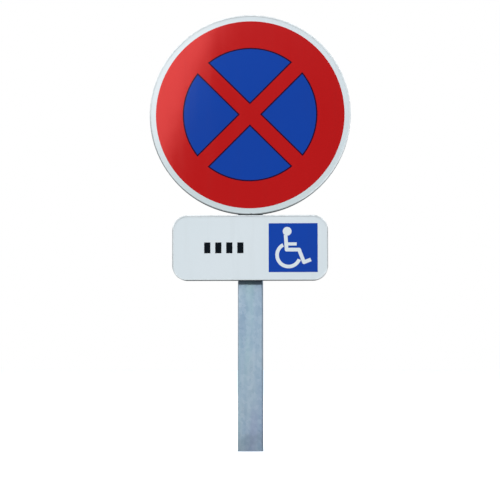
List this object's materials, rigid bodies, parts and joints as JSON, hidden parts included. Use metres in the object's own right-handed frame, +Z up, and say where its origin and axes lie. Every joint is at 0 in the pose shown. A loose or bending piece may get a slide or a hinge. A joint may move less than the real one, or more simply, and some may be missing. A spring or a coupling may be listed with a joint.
{
  "type": "signpost with sign",
  "caption": "Rectangular galvanised post carrying a round no-stopping sign and a small plate with a wheelchair pictogram, clamped on with slotted rails and straps.",
  "frame": {"origin": "centre of the post's foot, on the plane of its lower end", "axes": "+Z up along the post, -Y towards the viewer of the signs, +X to the viewer's right"},
  "size_m": [0.6499, 0.0721, 1.407],
  "materials": {
    "galvanised_post": "hot-dip galvanised, weathered, matt with soft blotches",
    "galvanised_strap": "hot-dip galvanised, matt",
    "zinc_fastener": "zinc plated, satin",
    "black_plastic": "moulded polyethylene, matt",
    "bare_aluminium": "mill finish, weathered",
    "rail_aluminium": "extruded, fine lengthwise lines",
    "rivet_aluminium": "satin",
    "lacquered_profile": "pale grey lacquer, satin, slightly dirty",
    "white_film": "reflective sheeting, glossy",
    "red_film": "reflective sheeting, glossy",
    "blue_film": "reflective sheeting, glossy",
    "black_film": "printed film, satin"
  },
  "bodies": {
    "post": {"post": "galvanised_post", "post_cap": "black_plastic"},
    "disc_clamps": {"disc_strap_upper": "galvanised_strap", "disc_bolts_upper": "zinc_fastener", "disc_washers_upper": "zinc_fastener", "disc_nuts_upper": "zinc_fastener", "disc_strap_lower": "galvanised_strap", "disc_bolts_lower": "zinc_fastener", "disc_washers_lower": "zinc_fastener", "disc_nuts_lower": "zinc_fastener"},
    "disc_sign": {"disc_panel": "bare_aluminium", "disc_edge_profile": "lacquered_profile", "disc_edge_joiner": "bare_aluminium", "disc_joiner_rivets": "rivet_aluminium", "disc_film_white": "white_film", "disc_film_red": "red_film", "disc_film_blue": "blue_film", "disc_rail_upper": "rail_aluminium", "disc_rail_lower": "rail_aluminium", "disc_rail_rivets_upper": "rivet_aluminium", "disc_rail_rivets_lower": "rivet_aluminium"},
    "plate_clamp": {"plate_strap": "galvanised_strap", "plate_bolts": "zinc_fastener", "plate_washers": "zinc_fastener", "plate_nuts": "zinc_fastener"},
    "plate_sign": {"plate_panel": "bare_aluminium", "plate_edge_profile": "lacquered_profile", "plate_edge_joiner": "bare_aluminium", "plate_joiner_rivets": "rivet_aluminium", "plate_film_white": "white_film", "plate_film_blue": "blue_film", "plate_film_symbol": "white_film", "plate_film_marks": "black_film", "plate_rail": "rail_aluminium", "plate_rail_rivets": "rivet_aluminium"}
  },
  "joints": [
    {"name": "disc_height", "type": "slide", "parent": "post", "child": "disc_clamps", "axis": [0, 0, 1], "range_m": [0, 0.085]},
    {"name": "disc_offset", "type": "slide", "parent": "disc_clamps", "child": "disc_sign", "axis": [1, 0, 0], "range_m": [-0.17, 0.17]},
    {"name": "plate_height", "type": "slide", "parent": "post", "child": "plate_clamp", "axis": [0, 0, 1], "range_m": [-0.5, 0]},
    {"name": "plate_offset", "type": "slide", "parent": "plate_clamp", "child": "plate_sign", "axis": [1, 0, 0], "range_m": [-0.155, 0.155]}
  ]
}
